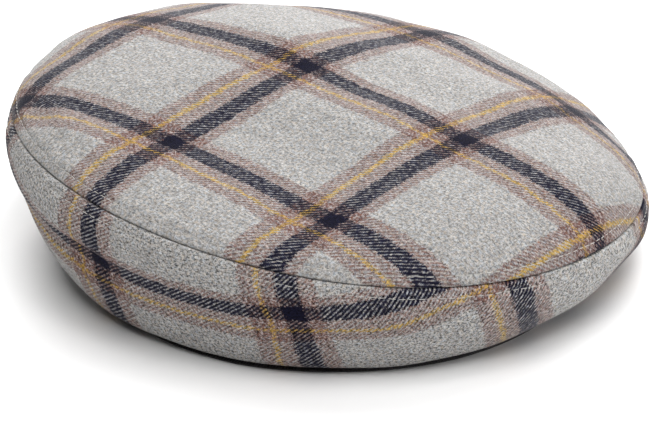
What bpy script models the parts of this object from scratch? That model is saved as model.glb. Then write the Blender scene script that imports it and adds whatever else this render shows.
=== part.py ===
"""Tam o' shanter: a flat round wool cap sewn from two panels, lying on its head opening.

The tables and dimensions are in millimetres, and the meshes are made in metres, +Z up.
+X is the right-hand side and -Y the front. The origin is the middle of the cap's outline,
on the surface the cap lies on.
"""

import bmesh
import bpy
import numpy as np

MM = 0.001

# Cloth, band and clearances
CLOTH = 2.0  # felted wool with its lining
CLEARANCE = 0.3  # between neighbouring pieces
BAND_RADIUS = 90.0  # outside of the headband
BAND_CLOTH = 2.0
BAND_HEIGHT = 28.0
BAND_LEAN = 2.0  # how far the free edge of the band leans inwards
BAND_UPRIGHT = 6.0  # height up to which the band stands straight
FOOT_RADIUS = 95.0  # where the under panel comes down onto the surface
HEM_HEIGHT = 0.5  # outside of the under panel from its foot to the headband

# Middle of the head opening on the surface, and the highest point of the crown, seen from there
OPENING_CENTRE = (-1.9, -16.3)
CREST = (-7.5, 7.5, 75.0)
CREST_SLOPE = (-0.08, 0.05)  # rise of the crown there for each millimetre along X and Y

# Mesh fineness: steps round the cap, and along each span of a panel's profile
STEPS_AROUND = 72
CROWN_STEPS = (7, 8)
UNDER_STEPS = (8, 6, 2)
EDGE_STEP = 0.02  # share of a span: the last row stays close to the seam, to square its edge

# The cap is not round: it slumps to the right and puffs up on the left. One row for each eighth
# of a turn, anticlockwise from +X seen from above, with radii from the middle of the opening.
#   shoulder_z  height of the top panel at SHOULDER_SHARE of the seam radius
#   seam        where the top panel is sewn to the under panel
#   bulge       how far the under panel swells out below the seam
SHOULDER_SHARE = 0.62
COLUMNS = ("shoulder_z", "seam_r", "seam_z", "bulge_r", "bulge_z")
SECTIONS = {
    0: (62.5, 130.0, 32.0, 132.5, 20.5),
    45: (62.5, 141.0, 23.0, 141.5, 16.0),
    90: (68.5, 150.0, 29.5, 149.0, 28.5),
    135: (76.0, 144.5, 47.0, 143.0, 40.0),
    180: (75.5, 125.5, 60.5, 122.0, 26.0),
    225: (70.0, 117.5, 61.5, 106.0, 13.0),
    270: (64.5, 120.5, 50.5, 111.5, 19.5),
    315: (65.5, 129.5, 41.5, 125.0, 24.5),
}

# Places along a profile, counted in knots
AT_CREST = 0
AT_SEAM = 2
AT_BAND = 5

COLOURS = {
    "crown_top": (0.45, 0.45, 0.44),
    "under_panel": (0.42, 0.42, 0.41),
    "headband": (0.012, 0.012, 0.014),
}
ROUGHNESS = {"crown_top": 0.9, "under_panel": 0.9, "headband": 0.7}


def around(column, turn):
    """Value of one column of SECTIONS at any angle, as the smoothest wave through the rows."""
    rows = np.array([SECTIONS[azimuth][COLUMNS.index(column)] for azimuth in sorted(SECTIONS)])
    half = len(rows) // 2
    waves = np.fft.rfft(rows) / len(rows)
    value = waves[0].real + waves[half].real * np.cos(half * turn)
    for k in range(1, half):
        value += 2 * (waves[k].real * np.cos(k * turn) - waves[k].imag * np.sin(k * turn))
    return value


def knots(turn):
    """Points (radius, height) that the profile at one angle passes through."""
    seam_r = around("seam_r", turn)
    return np.array([
        (0.0, CREST[2]),
        (SHOULDER_SHARE * seam_r, around("shoulder_z", turn)),
        (seam_r, around("seam_z", turn)),
        (around("bulge_r", turn), around("bulge_z", turn)),
        (FOOT_RADIUS, HEM_HEIGHT),
        (BAND_RADIUS + CLEARANCE, HEM_HEIGHT),
    ])


def tangents(points, turn):
    """Directions of the smooth curve through the knots, and the lengths of its chords."""
    chord = np.linalg.norm(np.diff(points, axis=0), axis=1)
    last = len(points) - 1
    matrix = np.zeros((last + 1, last + 1))
    right = np.zeros((last + 1, 2))
    matrix[0, 0] = matrix[last, last] = 1
    right[0] = (1, CREST_SLOPE[0] * np.cos(turn) + CREST_SLOPE[1] * np.sin(turn))
    right[last] = (-1, 0)
    for i in range(1, last):
        before, after = chord[i - 1], chord[i]
        matrix[i, i - 1:i + 2] = (after, 2 * (before + after), before)
        right[i] = 3 * (after * (points[i] - points[i - 1]) / before
                        + before * (points[i + 1] - points[i]) / after)
    return np.linalg.solve(matrix, right), chord


def profile(turn, along):
    """(radius, height) of the outside of the cloth, with 'along' counted in knots."""
    points = knots(turn)
    direction, chord = tangents(points, turn)
    span = np.minimum(along.astype(int), len(chord) - 1)
    t = (along - span)[:, None]
    leave = direction[span] * chord[span][:, None]
    arrive = direction[span + 1] * chord[span][:, None]
    return ((2 * t**3 - 3 * t**2 + 1) * points[span] + (t**3 - 2 * t**2 + t) * leave
            + (3 * t**2 - 2 * t**3) * points[span + 1] + (t**3 - t**2) * arrive)


def cloth_row(turn, along):
    """Points in space of one profile. The crest's offset fades out towards the seam."""
    radius, height = profile(turn, along).T
    fade = np.clip(1 - radius / around("seam_r", turn), 0, 1) * (along < AT_SEAM)
    x = OPENING_CENTRE[0] + radius * np.cos(turn) + CREST[0] * fade
    y = OPENING_CENTRE[1] + radius * np.sin(turn) + CREST[1] * fade
    return np.column_stack((x, y, height)) * MM


def steps_along(first, steps):
    """Values of 'along' with that many steps on each span, from knot 'first' on."""
    marks = [first + span + np.arange(count) / count for span, count in enumerate(steps)]
    return np.append(np.concatenate(marks), first + len(steps))


def seam_gap(turn):
    """Half of the clearance at the seam, as a share of the span beside it."""
    chord = np.linalg.norm(np.diff(knots(turn), axis=0), axis=1)
    return CLEARANCE / 2 / chord[AT_SEAM - 1], CLEARANCE / 2 / chord[AT_SEAM]


def crown_marks(turn):
    marks = steps_along(AT_CREST, CROWN_STEPS)
    edge = AT_SEAM - seam_gap(turn)[0]
    return np.append(marks[:-1], (edge - EDGE_STEP, edge))


def under_marks(turn):
    marks = steps_along(AT_SEAM, UNDER_STEPS)
    edge = AT_SEAM + seam_gap(turn)[1]
    return np.append((edge, edge + EDGE_STEP), marks[1:])


def make_material(name):
    material = bpy.data.materials.new(name)
    material.use_nodes = True
    shader = material.node_tree.nodes["Principled BSDF"]
    shader.inputs["Base Color"].default_value = (*COLOURS[name], 1.0)
    shader.inputs["Roughness"].default_value = ROUGHNESS[name]
    return material


def new_piece(name, mesh, collection):
    piece = bpy.data.objects.new(name, mesh)
    piece.data.materials.append(make_material(name))
    collection.objects.link(piece)
    return piece


def thicken(piece, thickness, outwards=-1.0):
    """A wall of that thickness, by default behind the surface."""
    solidify = piece.modifiers.new("Wall", "SOLIDIFY")
    solidify.thickness = thickness * MM
    solidify.offset = outwards
    solidify.use_rim = True


def cloth_panel(name, marks_at, collection):
    """A panel of the cap: an open surface lofted round the profiles, then given its thickness."""
    turns = np.arange(STEPS_AROUND) * 2 * np.pi / STEPS_AROUND
    rows = [cloth_row(turn, marks_at(turn)) for turn in turns]
    has_crest = marks_at(0.0)[0] == AT_CREST
    shape = bmesh.new()
    crest = shape.verts.new(rows[0][0]) if has_crest else None
    grid = [[crest if has_crest and k == 0 else shape.verts.new(point)
             for k, point in enumerate(row)] for row in rows]
    for here, there in zip(grid, grid[1:] + grid[:1]):
        for k in range(len(here) - 1):
            corners = (here[k], here[k + 1], there[k + 1], there[k])
            shape.faces.new(dict.fromkeys(corners))
    mesh = bpy.data.meshes.new(name)
    shape.to_mesh(mesh)
    shape.free()
    mesh.shade_smooth()
    thicken(new_piece(name, mesh, collection), CLOTH)


def headband(name, collection):
    """The band round the head opening: a line turned about the middle, then given its thickness."""
    outline = (
        (BAND_RADIUS - BAND_LEAN, BAND_HEIGHT),
        (BAND_RADIUS, BAND_UPRIGHT),
        (BAND_RADIUS, 0.0),
    )
    mesh = bpy.data.meshes.new(name)
    mesh.from_pydata([(radius * MM, 0, height * MM) for radius, height in outline], [(0, 1), (1, 2)], [])
    band = new_piece(name, mesh, collection)
    band.location = (OPENING_CENTRE[0] * MM, OPENING_CENTRE[1] * MM, 0)
    turned = band.modifiers.new("Turn", "SCREW")
    turned.steps = turned.render_steps = STEPS_AROUND
    turned.use_merge_vertices = True
    turned.merge_threshold = 0.00001
    turned.use_smooth_shade = True
    thicken(band, BAND_CLOTH)


def main():
    for item in list(bpy.data.objects):
        bpy.data.objects.remove(item, do_unlink=True)
    cap = bpy.data.collections.new("tam_o_shanter")
    bpy.context.scene.collection.children.link(cap)
    cloth_panel("crown_top", crown_marks, cap)
    cloth_panel("under_panel", under_marks, cap)
    headband("headband", cap)


main()
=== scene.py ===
"""Looks of the tam o' shanter: two panels of check wool twill, sewn along an edge seam that is
topstitched on both sides, and a black ribbed headband, lying on a pale table.

The tables and the cloth's sizes are in millimetres, and the meshes are made in metres.
"""

import math

import bmesh
import bpy
import numpy as np
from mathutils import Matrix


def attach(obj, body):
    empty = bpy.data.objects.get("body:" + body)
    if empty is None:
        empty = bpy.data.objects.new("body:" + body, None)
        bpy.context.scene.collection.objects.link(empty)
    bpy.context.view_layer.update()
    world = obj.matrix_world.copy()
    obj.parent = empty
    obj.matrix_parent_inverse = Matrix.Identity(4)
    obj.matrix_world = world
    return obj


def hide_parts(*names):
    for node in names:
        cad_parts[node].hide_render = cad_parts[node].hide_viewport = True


MM = 0.001

# Repeated from the construction: the outside of the cloth
CLOTH = 2.0
CLEARANCE = 0.3
BAND_RADIUS = 90.0
BAND_CLOTH = 2.0
BAND_HEIGHT = 28.0
BAND_LEAN = 2.0
BAND_UPRIGHT = 6.0
FOOT_RADIUS = 95.0
HEM_HEIGHT = 0.5
OPENING_CENTRE = (-1.9, -16.3)
CREST = (-7.5, 7.5, 75.0)
CREST_SLOPE = (-0.08, 0.05)
SHOULDER_SHARE = 0.62
COLUMNS = ("shoulder_z", "seam_r", "seam_z", "bulge_r", "bulge_z")
SECTIONS = {
    0: (62.5, 130.0, 32.0, 132.5, 20.5),
    45: (62.5, 141.0, 23.0, 141.5, 16.0),
    90: (68.5, 150.0, 29.5, 149.0, 28.5),
    135: (76.0, 144.5, 47.0, 143.0, 40.0),
    180: (75.5, 125.5, 60.5, 122.0, 26.0),
    225: (70.0, 117.5, 61.5, 106.0, 13.0),
    270: (64.5, 120.5, 50.5, 111.5, 19.5),
    315: (65.5, 129.5, 41.5, 125.0, 24.5),
}
AT_CREST = 0
AT_SEAM = 2
AT_BAND = 5

# Mesh fineness. The columns start at the back, where the ends of the under panel meet.
STEPS_AROUND = 432
TURNS = math.pi / 2 + np.arange(STEPS_AROUND + 1) * 2 * math.pi / STEPS_AROUND
FRONT = STEPS_AROUND // 2
PROFILE_SAMPLES = 240
NEAR_SEAM = np.concatenate((np.arange(0, 6, 0.4), np.arange(6, 13, 1.0)))  # mm from the seam
CROWN_ROWS = 62
UNDER_ROWS = 34
INSIDE_STRIDE = 3  # one row on the inside of the wall for so many on the outside
WELD = 1e-6  # points closer than this many metres are made one

# Cut of the cloth. The top panel is a disc laid out from the crest, and the under panel a curved
# strip whose outer edge has STRIP_RADIUS. TURN is from the panel's own axes to the threads, in
# radians, PHASE is where a navy bar of each set lies, and REPEAT how far apart such bars are.
STRIP_RADIUS = 261.2
CROWN_TURN = -0.6779
CROWN_PHASE = (-10.14, 11.26)
UNDER_TURN = 0.3053
UNDER_PHASE = (24.64, 112.76)
REPEAT = (81.0, 81.77)

# Where the cloth was pulled, its threads drift from straight. One row for each set of threads, with
# the drift in yarns for 1, x, y, x squared, x times y and y squared. Here x and y are places
# across the two sets, which level off at 1 over DRIFT_SPAN yarns.
DRIFT_SPAN = 300.0
CROWN_DRIFT = ((-3.0, -1.9, -2.1, 5.6, -2.7, 7.1), (-0.9, -2.2, 0.2, 6.9, 0.7, 3.1))
UNDER_DRIFT = ((-2.4, 57.4, 2.5, 133.9, -2.0, 28.9), (-0.1, -18.9, -13.1, 2.6, -47.8, -18.5))

# The same for places where the cloth was stretched: azimuth and distance from the seam, reach along
# the seam and across it, and the drift in yarns of the first and of the second set
UNDER_TUGS = (
    (341, 13, 15, 9, 11.0, 0.0),
    (347, 6, 20, 12, 0.0, 6.0),
    (283, 20, 24, 10, 8.0, 0.0),
    (260, 54, 14, 13, 0.0, 3.8),
    (259, 26, 10, 9, 0.0, -2.2),
)

# Edge seam: the cloth rolls under at it, dips where the stitches pull it in, and rises over the
# seam allowance that is folded back under it
SEAM_ROLL = 1.3
STITCH_LINE = 4.5  # from the seam
DIP_DEPTH = 0.28
DIP_WIDTH = 0.9
ALLOWANCE_LINE = 7.0  # from the seam
ALLOWANCE_HEIGHT = 0.35
ALLOWANCE_WIDTH = 2.5

# Topstitching
STITCH_LENGTH = 3.3
STITCH_PITCH = 3.9
STITCH_SEED = 11
STITCH_SHIFT = 0.05  # how far a stitch may lie from its even place, as a share of the pitch
STITCH_SHARE = (0.92, 1.06)  # shortest and longest stitch, as a share of STITCH_LENGTH
STITCH_ASIDE = 0.08  # how far a stitch may lie off the line
STITCH_SLANT = 0.12  # how far it slants across the line, as a standard deviation
STITCH_RISE = 0.30  # from the ends of a stitch to its middle
STITCH_SINK = 0.20  # how deep its ends lie in the cloth
THREAD_RADIUS = 0.15
THREAD_TAPER = 0.45  # share of its radius that the thread loses at the ends of a stitch
THREAD_POINTS = 7  # along a stitch, and round it, where the last falls on the first

# Unevenness of the cloth
WAVES = (  # direction in degrees, length, height, and phase in degrees
    (20, 74, 0.42, 40),
    (75, 58, 0.36, 200),
    (130, 66, 0.38, 310),
    (165, 43, 0.22, 95),
    (50, 37, 0.18, 250),
    (100, 29, 0.11, 10),
)
UNDER_WAVES = 0.6  # share of their height that the waves have on the under panel
PUCKERS = ((31.0, 0.22, 0), (18.7, 0.16, 120), (11.3, 0.10, 45))  # length, height, phase
PUCKER_REACH = 14.0  # they fade and the waves come in over so much cloth beside the seam

# Back of the under panel, where its ends are joined
JOIN_CALM = 40.0  # the waves fade out over so much cloth beside the join
JOIN_DEPTH = 0.5
JOIN_WIDTH = 1.2

# Hem: it is free of waves and dents, and stands a little off the table
HEM_REACH = 25.0  # the waves and dents fade out over so much cloth above it
HEM_LIFT = 0.6
HEM_LIFT_REACH = 16.0  # and the lift over so much
HEM_RAISED = ((229, 13, 1.6),)  # where it stands higher: azimuth and reach in degrees, and height

# Headband: the rounding of its edges, and how far its folded lower edge reaches out under the hem,
# for some azimuths in degrees. This dark fold is partly the band's edge and partly painted shade:
# it stands in for the deep shade in the gap under the hem, most of all at the front right.
BAND_EDGE = 0.7
BAND_FOOT = 0.05  # height of its underside
SHADE_FOLD_REACH = (
    (215, 4.5), (228, 6.2), (240, 7.2), (250, 8.6), (272, 9.2), (286, 10.8), (300, 12.6),
    (325, 14.0), (340, 12.0), (355, 4.5),
)
SHADE_FOLD_HEIGHT = 0.8

# Where the cloth is dented or swells: azimuth in degrees and distance from the seam, reach along
# the seam and across it, and height
CROWN_SWELLS = (
    (196, 22, 38, 11, 1.5),
    (186, 15, 9, 4, -0.8),
    (201, 13, 12, 3.5, -0.7),
    (193, 30, 12, 4, -0.6),
)
UNDER_SWELLS = (
    (182, 30, 20, 14, -1.2),
    (211, 16, 32, 8, 1.4),
    (211, 27.5, 32, 6, -3.8),
    (341, 20, 22, 12, -2.6),
    (287, 56, 22, 8, 2.5),
)

# The check, as thread counts of one repeat. Each count starts so many yarns before the middle of
# the navy bar as START says.
REPEAT_YARNS = 144
WARP_SETT = (("taupe", 11), ("yellow", 4), ("taupe", 11), ("navy", 15), ("taupe", 9), ("grey", 94))
WEFT_SETT = (("taupe", 11), ("yellow", 3), ("taupe", 10), ("navy", 15), ("taupe", 11), ("grey", 94))
WARP_START = 33
WEFT_START = 32
RAMP_READ = 0.75  # a ramp is read at 256 places, so each yarn is looked up past its middle
YARNS = {  # colour, how far the yarn spreads over the one that it crosses, and its pale fibres
    "grey": ((0.321, 0.313, 0.298), 0.0, 0.0),
    "taupe": ((0.135, 0.069, 0.057), 0.2, 0.75),
    "yellow": ((0.365, 0.226, 0.050), 1.0, 0.1),
    "navy": ((0.0057, 0.0055, 0.0145), 1.5, 0.0),
}
PALE = (0.35, 0.328, 0.315)

# The top is more worn than the under panel: how much of each yarn below shows through those above,
# how strongly light and dark fibres differ, and how far a yarn's spread tells
CROWN_NAP = (0.07, 0.98, 1.0)
UNDER_NAP = (0.06, 1.8, 0.7)

# Which yarn shows at a place of the felted cloth
STRAY = 9.0  # how many yarns away a felted fibre may lie, for a noise of full swing
WANDER = 5.0  # the same for the slow wandering of the yarns
YARN_ROUND = 0.6  # height of a yarn's round back, where it rises and falls by 1
FUZZ_LEAD = 10.0  # weight of the fuzz that lies over the cloth
GRAIN_LEAD = 5.0  # weight of the fibres of the yarns themselves
BLUR = 1.8  # how gradually one yarn gives way to the other
FELTING_BLUR = 5.0  # and how much more so for each unit of felting

# Tones of the wool
FLECK_NOISE = (0.38, 0.56)  # readings of the noise from dark flecks to light ones
FLECK_TONE = 0.76
FLECK_SWING = 0.36
PALE_NOISE = (0.47, 0.58)  # readings of the noise from no pale fibre to a full one
GRAIN_TONE = (0.0, 2.0)
MOTTLE_TONE = (0.65, 1.35)
WARM = (1.22, 1.0, 0.76, 1.0)
COOL = (0.78, 1.0, 1.28, 1.0)
GRAIN_HEIGHT = 1.4  # of the fibres in the relief, where the yarns rise and fall by 1
WOOL_BUMP = (0.5, 0.12)  # strength, and depth in mm

# Band, thread and table
RIB_PITCH = 1.1
RIB_TONE = (1.0, 1.2)
BAND_TONE = (0.6, 1.4)
BAND_DARK = (0.0, 0.0, 0.0, 1.0)
BAND_BLACK = (0.044, 0.042, 0.042, 1.0)
BAND_BUMP = (0.6, 0.15)
THREAD_GRAIN = 0.8
THREAD_TONES = ((0.30, 0.29, 0.27, 1.0), (0.62, 0.60, 0.56, 1.0))
TABLE_GRAIN = 50.0
TABLE_TONES = ((0.89, 0.89, 0.89, 1.0), (0.91, 0.91, 0.91, 1.0))
TABLE_REACH = 6.0  # metres from the middle to each side

# Noise: size of its grains along the two directions of the cloth (in yarns, for the band in mm),
# octaves of finer grains, layer, and roughness
NOISE = {
    "loose_warp": (1.3, 1.3, 3.0, 41.0, 0.5),
    "bent_warp": (8.0, 8.0, 1.0, 43.0, 0.5),
    "loose_weft": (1.3, 1.3, 3.0, 47.0, 0.5),
    "bent_weft": (8.0, 8.0, 1.0, 49.0, 0.5),
    "warp_grain": (1.2, 3.6, 3.0, 11.0, 0.5),
    "weft_grain": (3.6, 1.2, 3.0, 17.0, 0.5),
    "fuzz": (6.0, 2.4, 3.0, 3.0, 0.5),  # along the two diagonals
    "flecks": (2.2, 2.2, 4.0, 23.0, 0.9),
    "mottle": (9.0, 9.0, 2.0, 29.0, 0.5),
    "tint": (2.5, 2.5, 2.0, 37.0, 0.5),
    "pale": (2.2, 2.2, 3.0, 31.0, 0.8),
    "band": (0.3, 0.9, 2.0, 5.0, 0.5),
}

# The photograph's camera
CAMERA_ELEVATION = 26.0
CAMERA_DISTANCE = 1489.7
CAMERA_TARGET = (0.02, -16.3, 18.2)
CAMERA_LENS = 200.2
CAMERA_SENSOR = 36.0
CAMERA_CLIP = (0.1, 50.0)  # metres

# Light: an even white surround, and round soft lamps that all point at the middle of the table.
# One row for each lamp: direction it stands in, anticlockwise from the right, height in degrees,
# and power in watts.
SURROUND = 0.06
LAMP_SIZE = 1.0  # metres
LAMP_DISTANCE = 1.7  # metres
LAMPS = {
    "over": (315, 82, 4.6),
    "key": (315, 60, 8.0),
    "front": (270, 60, 16.7),
    "back_left": (135, 60, 9.3),
    "back_right": (45, 60, 10.1),
    "low_back": (90, 15, 42.0),
    "low_right": (350, 15, 8.5),
}


# ---------------------------------------------------------------- the outside of the cloth


def around(column, turn):
    """Value of one column of SECTIONS at any angle, as the smoothest wave through the rows."""
    rows = np.array([SECTIONS[azimuth][COLUMNS.index(column)] for azimuth in sorted(SECTIONS)])
    half = len(rows) // 2
    waves = np.fft.rfft(rows) / len(rows)
    value = waves[0].real + waves[half].real * np.cos(half * turn)
    for k in range(1, half):
        value += 2 * (waves[k].real * np.cos(k * turn) - waves[k].imag * np.sin(k * turn))
    return value


def knots(turn):
    """Points (radius, height) that the profile at one angle passes through."""
    seam_r = around("seam_r", turn)
    return np.array([
        (0.0, CREST[2]),
        (SHOULDER_SHARE * seam_r, around("shoulder_z", turn)),
        (seam_r, around("seam_z", turn)),
        (around("bulge_r", turn), around("bulge_z", turn)),
        (FOOT_RADIUS, HEM_HEIGHT),
        (BAND_RADIUS + CLEARANCE, HEM_HEIGHT),
    ])


def tangents(points, turn):
    """Directions of the smooth curve through the knots, and the lengths of its chords."""
    chord = np.linalg.norm(np.diff(points, axis=0), axis=1)
    last = len(points) - 1
    matrix = np.zeros((last + 1, last + 1))
    right = np.zeros((last + 1, 2))
    matrix[0, 0] = matrix[last, last] = 1
    right[0] = (1, CREST_SLOPE[0] * np.cos(turn) + CREST_SLOPE[1] * np.sin(turn))
    right[last] = (-1, 0)
    for i in range(1, last):
        before, after = chord[i - 1], chord[i]
        matrix[i, i - 1:i + 2] = (after, 2 * (before + after), before)
        right[i] = 3 * (after * (points[i] - points[i - 1]) / before
                        + before * (points[i + 1] - points[i]) / after)
    return np.linalg.solve(matrix, right), chord


def profile(turn, along):
    """Points of the outside of the cloth at one angle, with 'along' counted in knots."""
    points = knots(turn)
    direction, chord = tangents(points, turn)
    span = np.minimum(along.astype(int), len(chord) - 1)
    t = (along - span)[:, None]
    leave = direction[span] * chord[span][:, None]
    arrive = direction[span + 1] * chord[span][:, None]
    radius, height = ((2 * t**3 - 3 * t**2 + 1) * points[span] + (t**3 - 2 * t**2 + t) * leave
                      + (3 * t**2 - 2 * t**3) * points[span + 1] + (t**3 - t**2) * arrive).T
    fade = np.clip(1 - radius / points[AT_SEAM, 0], 0, 1) * (along < AT_SEAM)
    x = OPENING_CENTRE[0] + radius * np.cos(turn) + CREST[0] * fade
    y = OPENING_CENTRE[1] + radius * np.sin(turn) + CREST[1] * fade
    return np.column_stack((x, y, height))


def unit(vectors):
    return vectors / np.linalg.norm(vectors, axis=-1, keepdims=True)


def run_along(points):
    """Distance of each point from the first, along the line through them."""
    return np.append(0, np.cumsum(np.linalg.norm(np.diff(points, axis=0), axis=1)))


def bell(away, reach):
    """1 in the middle, falling off smoothly all round it."""
    return np.exp(-((away / reach) ** 2))


def outward(grid, facing):
    """Directions square to a grid that closes round the cap."""
    ring = grid[:, :-1]
    across = np.roll(ring, -1, axis=1) - np.roll(ring, 1, axis=1)
    if np.ptp(ring[-1], axis=0).max() < MM:
        across[-1] = across[-2]
    normal = facing * unit(np.cross(across, np.gradient(ring, axis=0)))
    return np.concatenate((normal, normal[:, :1]), axis=1)


class Panel:
    """The outside of one panel as a grid, with rows from the seam on and columns round the cap.

    base      points of the smooth surface, and 'normal' the direction square to it
    distance  how far each point is from the seam along the cloth
    seam_run  how far round the seam each column is, from the back
    outside   the finished surface, once the relief has been added
    inside    the other side of the wall, without relief, on the rows in inside_rows only
    """

    def __init__(self, last_knot, rows, facing):
        along = np.linspace(AT_SEAM, last_knot, PROFILE_SAMPLES)
        share = np.arange(1, rows + 1) / rows
        points, distance = [], []
        for turn in TURNS:
            line = profile(turn, along)
            run = run_along(line)
            marks = np.append(NEAR_SEAM, NEAR_SEAM[-1] + (run[-1] - NEAR_SEAM[-1]) * share)
            points.append(np.column_stack([np.interp(marks, run, line[:, k]) for k in range(3)]))
            distance.append(marks)
        self.base = np.array(points).transpose(1, 0, 2)
        self.distance = np.array(distance).T
        self.normal = outward(self.base, facing)
        if last_knot == AT_CREST:
            self.normal[-1] = unit(self.normal[-2].mean(axis=0))
        self.seam_run = run_along(self.base[0])

    def add_relief(self, height, seam_normal):
        """Raises the surface by 'height'. Beside the seam it moves along the seam's own normal."""
        share = np.clip(self.distance / STITCH_LINE, 0, 1)[..., None]
        direction = unit(seam_normal * (1 - share) + self.normal * share)
        self.outside = self.base + direction * height[..., None]
        stride = list(range(0, len(self.base), INSIDE_STRIDE))
        if stride[-1] != len(self.base) - 1:
            stride.append(len(self.base) - 1)
        self.inside_rows = stride
        self.inside = self.base[stride] - direction[stride] * CLOTH

    def at(self, grid, turn, distance):
        """Value of a grid at any angle, at a distance from the seam that NEAR_SEAM spans."""
        column = (turn - TURNS[0]) / (2 * np.pi) * STEPS_AROUND % STEPS_AROUND
        row = np.interp(distance, NEAR_SEAM, np.arange(len(NEAR_SEAM)))
        left, top = column.astype(int), row.astype(int)
        side, drop = (column - left)[..., None], (row - top)[..., None]
        upper = grid[top, left] * (1 - side) + grid[top, left + 1] * side
        lower = grid[top + 1, left] * (1 - side) + grid[top + 1, left + 1] * side
        return upper * (1 - drop) + lower * drop


def seam_relief(distance):
    """Height of the cloth beside the seam: rolled under at the seam, pulled in by the stitches and
    raised over the seam allowance."""
    inside = np.clip(SEAM_ROLL - distance, 0, SEAM_ROLL)
    roll = SEAM_ROLL - np.sqrt(SEAM_ROLL**2 - inside**2)
    stitched = DIP_DEPTH * bell(distance - STITCH_LINE, DIP_WIDTH)
    allowance = ALLOWANCE_HEIGHT * bell(distance - ALLOWANCE_LINE, ALLOWANCE_WIDTH)
    return allowance - roll - stitched


def waves(u, v):
    """Slow unevenness of the cloth, over its flat places."""
    total = np.zeros_like(u)
    for degrees, length, height, phase in WAVES:
        direction = math.radians(degrees)
        run = u * math.cos(direction) + v * math.sin(direction)
        total += height * np.sin(2 * math.pi * run / length + math.radians(phase))
    return total


def puckers(run, distance):
    """Short waves along the seam, which die away from it."""
    total = np.zeros_like(distance)
    for length, height, phase in PUCKERS:
        repeats = round(run[-1] / length)
        total += height * np.sin(2 * math.pi * repeats * run / run[-1] + math.radians(phase))
    return total * np.exp(-distance / PUCKER_REACH) * np.clip(distance / STITCH_LINE, 0, 1)


def swells(panel, rows):
    """Height of the dents and swells on one panel."""
    total = np.zeros_like(panel.distance)
    length = panel.seam_run[-1]
    for azimuth, distance, along, across, height in rows:
        turn = math.radians(azimuth) + (2 * math.pi if azimuth < 90 else 0)
        aside = panel.seam_run - np.interp(turn, TURNS, panel.seam_run)
        aside = (aside + length / 2) % length - length / 2
        total += height * bell(aside, along) * bell(panel.distance - distance, across)
    return total * np.clip(panel.distance / STITCH_LINE, 0, 1)


def hem_lift(panel):
    """How far the folded hem stands off the table, beside the headband that carries it."""
    low = np.clip(1 - (panel.distance[-1] - panel.distance) / HEM_LIFT_REACH, 0, 1)
    low = low * low * (3 - 2 * low)
    azimuths = np.degrees(TURNS) % 360
    raised = sum(height * bell(azimuths - azimuth, reach) for azimuth, reach, height in HEM_RAISED)
    return low * (HEM_LIFT + raised)


def crown_flat(panel):
    """Place of each grid point on the flat disc."""
    away = panel.base[0, :, :2] - panel.base[-1, 0, :2]
    bearing = np.arctan2(away[:, 1], away[:, 0])
    run = panel.distance[-1] - panel.distance
    return run * np.cos(bearing), run * np.sin(bearing)


def under_flat(panel):
    """Place of each grid point on the flat strip, whose middle is at the front."""
    run = panel.seam_run
    angle = math.pi / 2 - (run - run[FRONT]) / STRIP_RADIUS
    radius = STRIP_RADIUS - panel.distance
    lift = STRIP_RADIUS - run[-1] / (2 * math.pi)
    return radius * np.cos(angle), radius * np.sin(angle) - lift


def to_threads(flat, turn, phase):
    """Places counted in yarns along both sets of threads, from a navy bar of each."""
    u, v = flat
    first = (u * math.cos(turn) + v * math.sin(turn) - phase[0]) / REPEAT[0]
    second = (v * math.cos(turn) - u * math.sin(turn) - phase[1]) / REPEAT[1]
    return np.stack((first, second), axis=-1) * REPEAT_YARNS


def drifted(threads, drift):
    """Places along both sets of threads, after the drift."""
    x, y = np.moveaxis(np.tanh(threads / DRIFT_SPAN), -1, 0)
    terms = np.stack((np.ones_like(x), x, y, x * x, x * y, y * y), axis=-1)
    return threads + terms @ np.transpose(drift)


def tugged(threads, panel, rows):
    """Places along both sets of threads, after the local tugs."""
    first = swells(panel, [row[:5] for row in rows])
    second = swells(panel, [row[:4] + row[5:] for row in rows])
    return threads + np.stack((first, second), axis=-1)


# ---------------------------------------------------------------- meshes


def quads(index):
    """Faces between neighbours of a grid, given as the numbers of its points."""
    here, there = index[..., :-1, :], index[..., 1:, :]
    loop = (here[..., :-1], there[..., :-1], there[..., 1:], here[..., 1:])
    return np.stack(loop, axis=-1).reshape(-1, 4)


def new_piece(name, mesh, material):
    """A piece of the cap from a mesh, whose points are welded where they fall together."""
    shape = bmesh.new()
    shape.from_mesh(mesh)
    bmesh.ops.remove_doubles(shape, verts=shape.verts, dist=WELD)
    bmesh.ops.recalc_face_normals(shape, faces=shape.faces)
    shape.to_mesh(mesh)
    shape.free()
    mesh.shade_smooth()
    piece = bpy.data.objects.new(name, mesh)
    bpy.context.scene.collection.objects.link(piece)
    piece.data.materials.append(material)
    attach(piece, "root")
    return piece


def grid_piece(name, points, threads, material):
    """A piece over a grid of points. Each corner of a face keeps its own place on the threads."""
    rows, columns = points.shape[:2]
    faces = quads(np.arange(rows * columns).reshape(rows, columns))
    mesh = bpy.data.meshes.new(name)
    mesh.from_pydata((points.reshape(-1, 3) * MM).tolist(), [], faces.tolist())
    layer = mesh.uv_layers.new(name="threads")
    places = threads.reshape(-1, 2)[faces.ravel()]
    layer.data.foreach_set("uv", places.astype(np.float32).ravel())
    return new_piece(name, mesh, material)


def panel_piece(name, panel, threads, closed_rim, material):
    """The wall of one panel: its outside, the seam's edge, and a plainer inside."""
    points = np.concatenate((panel.outside[::-1], panel.inside))
    places = np.concatenate((threads[::-1], threads[panel.inside_rows]))
    if closed_rim:
        points = np.concatenate((points, points[:1]))
        places = np.concatenate((places, places[:1]))
    return grid_piece(name, points, places, material)


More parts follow.
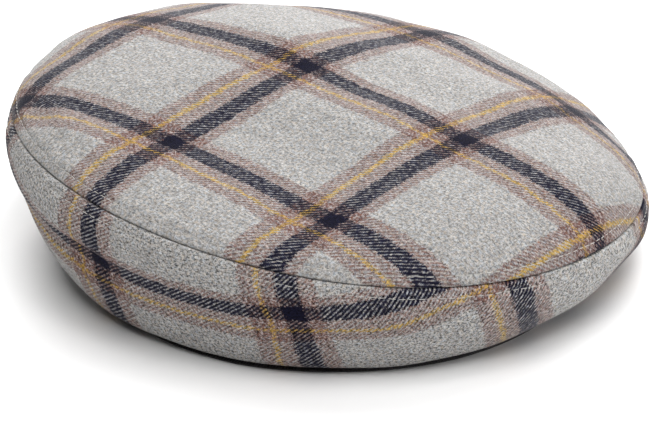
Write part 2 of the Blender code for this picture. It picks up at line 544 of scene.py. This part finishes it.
def stitches(name, panel, material):
    """A row of stitches beside the seam. Each is a short thread whose ends dip into the cloth."""
    length = panel.seam_run[-1]
    count = round(length / STITCH_PITCH)
    uneven = np.random.default_rng(STITCH_SEED)
    t = np.linspace(-0.5, 0.5, THREAD_POINTS)
    shift = uneven.uniform(-STITCH_SHIFT, STITCH_SHIFT, count)
    middle = (np.arange(count) + shift) * length / count
    reach = STITCH_LENGTH * uneven.uniform(*STITCH_SHARE, count)
    run = (middle[:, None] + t * reach[:, None]) % length
    turn = np.interp(run, panel.seam_run, TURNS)
    off_line = uneven.uniform(-STITCH_ASIDE, STITCH_ASIDE, count)[:, None]
    slant = uneven.normal(0, STITCH_SLANT, count)[:, None]
    aside = STITCH_LINE + off_line + t * slant
    bow = np.cos(math.pi * t)
    lift = STITCH_RISE * np.sqrt(bow) - STITCH_SINK
    normal = unit(panel.at(panel.normal, turn, aside))
    centre = panel.at(panel.outside, turn, aside) + normal * lift[:, None]
    forward = unit(np.gradient(centre, axis=1))
    side = unit(np.cross(forward, normal))
    rise = np.cross(side, forward)
    bearing = np.linspace(0, 2 * math.pi, THREAD_POINTS)[:, None]
    ring = side[:, :, None] * np.cos(bearing) + rise[:, :, None] * np.sin(bearing)
    thick = THREAD_RADIUS * (1 - THREAD_TAPER + THREAD_TAPER * bow)[None, :, None, None]
    return strands(name, centre[:, :, None] + ring * thick, material)


def strands(name, points, material):
    """A piece of many closed threads, given as (thread, place along, place round)."""
    threads, along, about = points.shape[:3]
    index = np.arange(threads * along * about).reshape(threads, along, about)
    caps = [list(ring[:-1]) for thread in index.tolist() for ring in (thread[0], thread[-1][::-1])]
    mesh = bpy.data.meshes.new(name)
    mesh.from_pydata((points.reshape(-1, 3) * MM).tolist(), [], quads(index).tolist() + caps)
    return new_piece(name, mesh, material)


def headband(name, material):
    """The band round the opening, turned about its middle, with softly rounded edges. Its lower
    edge is folded outwards and shows as a dark line under the hem, which is partly the band's edge
    and partly painted shade in the gap there."""
    outer, inner = BAND_RADIUS, BAND_RADIUS - BAND_CLOTH
    outer_top, inner_top = outer - BAND_LEAN, inner - BAND_LEAN
    section = np.array([  # radius, height, and share of the shade fold's reach
        (outer - 0.5, BAND_FOOT, 1),
        (outer, 0.3, 1),
        (outer - 0.1, SHADE_FOLD_HEIGHT - 0.2, 1),
        (outer - 0.6, SHADE_FOLD_HEIGHT, 1),
        (outer, SHADE_FOLD_HEIGHT / 2, 0.6),
        (outer, SHADE_FOLD_HEIGHT / 2, 0),
        (outer, BAND_UPRIGHT, 0),
        (outer_top, BAND_HEIGHT - BAND_EDGE, 0),
        (outer_top - 0.3, BAND_HEIGHT - 0.2, 0),
        (outer_top - 1.0, BAND_HEIGHT, 0),
        (inner_top + 0.3, BAND_HEIGHT - 0.2, 0),
        (inner_top, BAND_HEIGHT - BAND_EDGE, 0),
        (inner, BAND_UPRIGHT, 0),
        (inner, BAND_EDGE, 0),
        (inner + 0.2, 0.25, 0),
        (inner + BAND_EDGE, BAND_FOOT, 0),
        (outer - 0.5, BAND_FOOT, 1),
    ])
    run = run_along(section[:, :2])
    # The fold reaches furthest where it paints the deep shade under the hem
    reach = np.interp(np.degrees(TURNS) % 360, *zip(*SHADE_FOLD_REACH))
    radius, height = section[:, :1] + section[:, 2:] * reach, section[:, 1:2]
    points = np.stack((
        OPENING_CENTRE[0] + radius * np.cos(TURNS),
        OPENING_CENTRE[1] + radius * np.sin(TURNS),
        height + 0 * TURNS,
    ), axis=-1)
    places = np.stack((0 * radius + BAND_RADIUS * TURNS, run[:, None] + 0 * TURNS), axis=-1)
    return grid_piece(name, points, places, material)


# ---------------------------------------------------------------- materials


class Shader:
    """A material's nodes. Most calls add nodes and return the socket that they give."""

    def __init__(self, name, settings):
        self.material = bpy.data.materials.new(name)
        self.material.use_nodes = True
        self.tree = self.material.node_tree
        self.surface = self.tree.nodes["Principled BSDF"]
        for socket, value in settings.items():
            self.surface.inputs[socket].default_value = value

    def join(self, value, socket):
        if isinstance(value, bpy.types.NodeSocket):
            self.tree.links.new(value, socket)
        elif value is not None:
            socket.default_value = value

    def add(self, kind, *values, **settings):
        node = self.tree.nodes.new("ShaderNode" + kind)
        for name, value in settings.items():
            setattr(node, name, value)
        for value, socket in zip(values, node.inputs):
            self.join(value, socket)
        return node.outputs[0]

    def math(self, operation, *values):
        return self.add("Math", *values, operation=operation)

    def parts(self, vector):
        """The first two numbers of a vector or colour."""
        node = self.tree.nodes.new("ShaderNodeSeparateXYZ")
        self.join(vector, node.inputs[0])
        return node.outputs["X"], node.outputs["Y"]

    def threads(self):
        """The place on the cloth, along its two directions."""
        return self.parts(self.add("UVMap", uv_map="threads"))

    def noise(self, kind, x, y):
        """Smooth noise from 0 to 1 over the cloth, after its row in NOISE."""
        x_size, y_size, detail, layer, roughness = NOISE[kind]
        across, up = self.math("DIVIDE", x, x_size), self.math("DIVIDE", y, y_size)
        node = self.tree.nodes.new("ShaderNodeTexNoise")
        self.join(self.add("CombineXYZ", across, up, layer), node.inputs["Vector"])
        node.inputs["Scale"].default_value = 1.0
        node.inputs["Detail"].default_value = detail
        node.inputs["Roughness"].default_value = roughness
        return node.outputs["Fac"]

    def object_noise(self, size):
        """Smooth noise from 0 to 1 in space, with grains of that many millimetres."""
        node = self.tree.nodes.new("ShaderNodeTexNoise")
        node.inputs["Scale"].default_value = 1 / (size * MM)
        place = self.tree.nodes.new("ShaderNodeTexCoord").outputs["Object"]
        self.join(place, node.inputs["Vector"])
        return node.outputs["Fac"]

    def weighed(self, value, middle, weight):
        """How far a value is from the middle, times its weight."""
        return self.math("MULTIPLY", self.math("SUBTRACT", value, middle), weight)

    def stray(self, count, x, y, thread_set):
        """Number of the yarn that a fibre comes from: the one below it, or one near that, because
        fibres stray and the yarns wander."""
        loose = self.weighed(self.noise("loose_" + thread_set, x, y), 0.5, STRAY)
        bent = self.weighed(self.noise("bent_" + thread_set, x, y), 0.5, WANDER)
        return self.math("FLOOR", self.math("ADD", count, self.math("ADD", loose, bent)))

    def blend(self, share, first, second):
        node = self.tree.nodes.new("ShaderNodeMix")
        node.data_type = "RGBA"
        for name, value in (("Factor_Float", share), ("A_Color", first), ("B_Color", second)):
            self.join(value, next(s for s in node.inputs if s.identifier == name))
        return next(s for s in node.outputs if s.identifier == "Result_Color")

    def between(self, share, low, high):
        return self.add("MapRange", share, 0.0, 1.0, low, high)

    def step(self, value, start, end, low, high):
        """From low to high as the value goes from start to end, levelling off at both."""
        return self.add("MapRange", value, start, end, low, high,
                        interpolation_type="SMOOTHSTEP")

    def sett(self, yarn, counts, start):
        """Colour, spread and pale fibres of the yarn with that number, from the thread counts. The
        colour is given as its square roots, because mixing those lets dark fibres tell."""
        half = REPEAT_YARNS / 2
        place = self.math("WRAP", yarn, half, -half)
        place = self.math("DIVIDE", self.math("ADD", place, half + RAMP_READ), float(REPEAT_YARNS))
        dyes = {name: (*np.sqrt(yarn[0]), 1.0) for name, yarn in YARNS.items()}
        habits = {name: (yarn[1] / 2, yarn[2], 0.0, 1.0) for name, yarn in YARNS.items()}
        half_spread, pale = self.parts(self.ramp(place, counts, start, habits))
        spread = self.math("MULTIPLY", half_spread, 2.0)
        return self.ramp(place, counts, start, dyes), spread, pale

    def ramp(self, place, counts, start, values):
        """One of the values for each yarn of a repeat, read from the thread counts."""
        node = self.tree.nodes.new("ShaderNodeValToRGB")
        self.join(place, node.inputs[0])
        ramp = node.color_ramp
        ramp.interpolation = "CONSTANT"
        ramp.elements[0].color = values[counts[-1][0]]
        ramp.elements.remove(ramp.elements[1])
        edge = REPEAT_YARNS / 2 - start
        for name, count in counts:
            ramp.elements.new(edge / REPEAT_YARNS).color = values[name]
            edge += count
        return node.outputs["Color"]

    def set_colour(self, colour):
        self.join(colour, self.surface.inputs["Base Color"])

    def set_bump(self, height, strength, depth):
        """Fine relief of the surface, with its depth in millimetres."""
        node = self.tree.nodes.new("ShaderNodeBump")
        node.inputs["Strength"].default_value = strength
        node.inputs["Distance"].default_value = depth * MM
        self.join(height, node.inputs["Height"])
        self.join(node.outputs[0], self.surface.inputs["Normal"])


def check_wool(name, nap):
    """Felted 2/2 twill in heather yarns, woven from the two thread counts."""
    felting, contrast, cover = nap
    s = Shader(name, {
        "Roughness": 0.92,
        "Specular IOR Level": 0.03,
        "Sheen Weight": 0.12,
        "Sheen Roughness": 0.3,
    })
    x, y = s.threads()
    warp, warp_spread, warp_pale = s.sett(s.stray(x, x, y, "warp"), WARP_SETT, WARP_START)
    weft, weft_spread, weft_pale = s.sett(s.stray(y, x, y, "weft"), WEFT_SETT, WEFT_START)

    # Each yarn rises and falls once in four crossings, one crossing later than the yarn beside it
    warp_step = s.math("SUBTRACT", y, s.math("FLOOR", x))
    weft_step = s.math("SUBTRACT", s.math("ADD", s.math("FLOOR", y), 1.0), x)
    warp_rise = s.math("COSINE", s.math("MULTIPLY", warp_step, math.pi / 2))
    weft_fall = s.math("COSINE", s.math("MULTIPLY", weft_step, math.pi / 2))
    warp_round = s.math("SINE", s.math("MULTIPLY", s.math("FRACT", x), math.pi))
    weft_round = s.math("SINE", s.math("MULTIPLY", s.math("FRACT", y), math.pi))
    warp_height = s.math("ADD", warp_rise, s.math("MULTIPLY", warp_round, YARN_ROUND))
    weft_height = s.math("SUBTRACT", s.math("MULTIPLY", weft_round, YARN_ROUND), weft_fall)

    # The higher yarn shows, and the fibres over it blur that
    warp_grain, weft_grain = s.noise("warp_grain", x, y), s.noise("weft_grain", x, y)
    fuzz = s.noise("fuzz", s.math("ADD", x, y), s.math("SUBTRACT", x, y))
    spread = s.weighed(warp_spread, weft_spread, cover)
    lead = s.math("ADD", s.math("SUBTRACT", warp_height, weft_height), spread)
    lead = s.math("ADD", lead, s.weighed(fuzz, 0.5, FUZZ_LEAD))
    lead = s.math("ADD", lead, s.weighed(warp_grain, weft_grain, GRAIN_LEAD))
    reach = BLUR + FELTING_BLUR * felting
    shows = s.step(lead, -reach, reach, felting, 1 - felting)

    # Heather: the fibres of each yarn run along it, light and dark, a little warm or cool
    grain = s.add("Mix", shows, None, weft_grain, warp_grain)
    swing = FLECK_SWING * contrast
    flecks = s.step(s.noise("flecks", x, y), *FLECK_NOISE, FLECK_TONE - swing, FLECK_TONE + swing)
    tone = s.math("MULTIPLY", s.between(grain, *GRAIN_TONE), flecks)
    tone = s.math("MULTIPLY", tone, s.between(s.noise("mottle", x, y), *MOTTLE_TONE))
    tint = s.blend(s.noise("tint", x, y), WARM, COOL)
    root = s.blend(shows, weft, warp)
    cloth = s.add("VectorMath", root, root, operation="MULTIPLY")
    pale = s.add("MapRange", s.noise("pale", x, y), *PALE_NOISE, 0.0, 1.0)
    pale = s.math("MULTIPLY", pale, s.add("Mix", shows, None, weft_pale, warp_pale))
    cloth = s.blend(pale, cloth, (*PALE, 1))
    cloth = s.add("VectorMath", cloth, tint, operation="MULTIPLY")
    shade = s.tree.nodes.new("ShaderNodeVectorMath")
    shade.operation = "SCALE"
    s.join(cloth, shade.inputs[0])
    s.join(tone, shade.inputs["Scale"])
    s.set_colour(shade.outputs[0])

    highest = s.math("MAXIMUM", warp_height, weft_height)
    s.set_bump(s.math("ADD", highest, s.math("MULTIPLY", grain, GRAIN_HEIGHT)), *WOOL_BUMP)
    return s.material


def ribbed_band(name):
    """Black grosgrain: fine ribs round the band, with a dull sheen."""
    s = Shader(name, {
        "Roughness": 0.62,
        "Specular IOR Level": 0.35,
        "Sheen Weight": 0.25,
        "Sheen Roughness": 0.4,
    })
    run, rise = s.threads()
    ribs = s.math("SINE", s.math("MULTIPLY", run, 2 * math.pi / RIB_PITCH))
    grain = s.noise("band", run, rise)
    tone = s.math("MULTIPLY", s.between(ribs, *RIB_TONE), s.between(grain, *BAND_TONE))
    s.set_colour(s.blend(tone, BAND_DARK, BAND_BLACK))
    s.set_bump(s.math("ADD", ribs, grain), *BAND_BUMP)
    return s.material


def thread_cotton(name):
    """Pale grey sewing thread with an uneven tone."""
    s = Shader(name, {"Roughness": 0.7, "Specular IOR Level": 0.3, "Sheen Weight": 0.2})
    s.set_colour(s.blend(s.object_noise(THREAD_GRAIN), *THREAD_TONES))
    return s.material


def table_white(name):
    """Matt white table top, with a faint unevenness."""
    s = Shader(name, {"Roughness": 0.9, "Specular IOR Level": 0.1})
    s.set_colour(s.blend(s.object_noise(TABLE_GRAIN), *TABLE_TONES))
    return s.material


# ---------------------------------------------------------------- stage


def add_table(material):
    sides = ((-1, -1), (1, -1), (1, 1), (-1, 1))
    mesh = bpy.data.meshes.new("table")
    mesh.from_pydata([(x * TABLE_REACH, y * TABLE_REACH, 0) for x, y in sides], [], [(0, 1, 2, 3)])
    table = bpy.data.objects.new("table", mesh)
    table.data.materials.append(material)
    bpy.context.scene.collection.objects.link(table)


def add_lights():
    world = bpy.data.worlds.new("surround")
    world.use_nodes = True
    background = world.node_tree.nodes["Background"]
    background.inputs["Color"].default_value = (1, 1, 1, 1)
    background.inputs["Strength"].default_value = SURROUND
    bpy.context.scene.world = world
    for name, (bearing, height, power) in LAMPS.items():
        lamp = bpy.data.lights.new(name, "AREA")
        lamp.shape = "DISK"
        lamp.size = LAMP_SIZE
        lamp.energy = power
        holder = bpy.data.objects.new(name, lamp)
        turn, tilt = math.radians(bearing), math.radians(height)
        flat = math.cos(tilt)
        away = np.array((flat * math.cos(turn), flat * math.sin(turn), math.sin(tilt)))
        holder.location = away * LAMP_DISTANCE
        holder.rotation_euler = (math.pi / 2 - tilt, 0, turn + math.pi / 2)
        holder.visible_camera = False
        bpy.context.scene.collection.objects.link(holder)


def add_camera():
    lens = bpy.data.cameras.new("camera")
    lens.lens = CAMERA_LENS
    lens.sensor_width = CAMERA_SENSOR
    lens.clip_start, lens.clip_end = CAMERA_CLIP
    camera = bpy.data.objects.new("camera", lens)
    tilt = math.radians(CAMERA_ELEVATION)
    back = np.array((0, -math.cos(tilt), math.sin(tilt))) * CAMERA_DISTANCE
    camera.location = (np.array(CAMERA_TARGET) + back) * MM
    camera.rotation_euler = (math.pi / 2 - tilt, 0, 0)
    bpy.context.scene.collection.objects.link(camera)
    bpy.context.scene.camera = camera


# ---------------------------------------------------------------- the cap

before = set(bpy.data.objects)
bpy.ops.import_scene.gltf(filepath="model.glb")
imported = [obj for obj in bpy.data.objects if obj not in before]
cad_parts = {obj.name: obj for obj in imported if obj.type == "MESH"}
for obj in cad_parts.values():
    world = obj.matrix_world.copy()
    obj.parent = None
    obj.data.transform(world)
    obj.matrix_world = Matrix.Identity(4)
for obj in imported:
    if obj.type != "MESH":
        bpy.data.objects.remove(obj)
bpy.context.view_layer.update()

# Shape of the two panels. They share one direction at the seam, so that their edges meet.
crown = Panel(AT_CREST, CROWN_ROWS, 1)
under = Panel(AT_BAND, UNDER_ROWS, -1)
under.base[..., 2] += hem_lift(under)
seam_normal = unit(crown.normal[0] + under.normal[0])
crown_places, under_places = crown_flat(crown), under_flat(under)
crown.add_relief(
    seam_relief(crown.distance)
    + waves(*crown_places) * np.clip(crown.distance / PUCKER_REACH, 0, 1)
    + puckers(crown.seam_run, crown.distance)
    + swells(crown, CROWN_SWELLS),
    seam_normal,
)
above_hem = np.clip((under.distance[-1] - under.distance) / HEM_REACH, 0, 1)
from_join = np.minimum(under.seam_run, under.seam_run[-1] - under.seam_run)
calm = np.clip(under.distance / PUCKER_REACH, 0, 1) * np.clip(from_join / JOIN_CALM, 0, 1)
under.add_relief(
    seam_relief(under.distance)
    - JOIN_DEPTH * bell(from_join, JOIN_WIDTH)
    + above_hem * (UNDER_WAVES * waves(*under_places) * calm
                   + puckers(under.seam_run, under.distance)
                   + swells(under, UNDER_SWELLS)),
    seam_normal,
)

# Where each panel's cloth lies on the threads. The two sets change places on the under panel,
# which is cut the other way round.
crown_threads = drifted(to_threads(crown_places, CROWN_TURN, CROWN_PHASE), CROWN_DRIFT)
under_threads = to_threads(under_places, UNDER_TURN, UNDER_PHASE)[..., ::-1]
under_threads = tugged(drifted(under_threads, UNDER_DRIFT), under, UNDER_TUGS)

crown_wool = check_wool("crown_wool", CROWN_NAP)
crown_piece = panel_piece("crown_cloth", crown, crown_threads, False, crown_wool)
under_wool = check_wool("under_wool", UNDER_NAP)
under_piece = panel_piece("under_cloth", under, under_threads, True, under_wool)
band_piece = headband("ribbed_headband", ribbed_band("ribbed_band"))
nodes = {"crown_top": crown_piece, "under_panel": under_piece, "headband": band_piece}
for node, piece in nodes.items():
    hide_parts(node)
thread = thread_cotton("sewing_thread")
stitches("crown_topstitch", crown, thread)
stitches("under_topstitch", under, thread)

add_table(table_white("table_white"))
add_lights()
add_camera()
bpy.context.scene.view_settings.view_transform = "Standard"
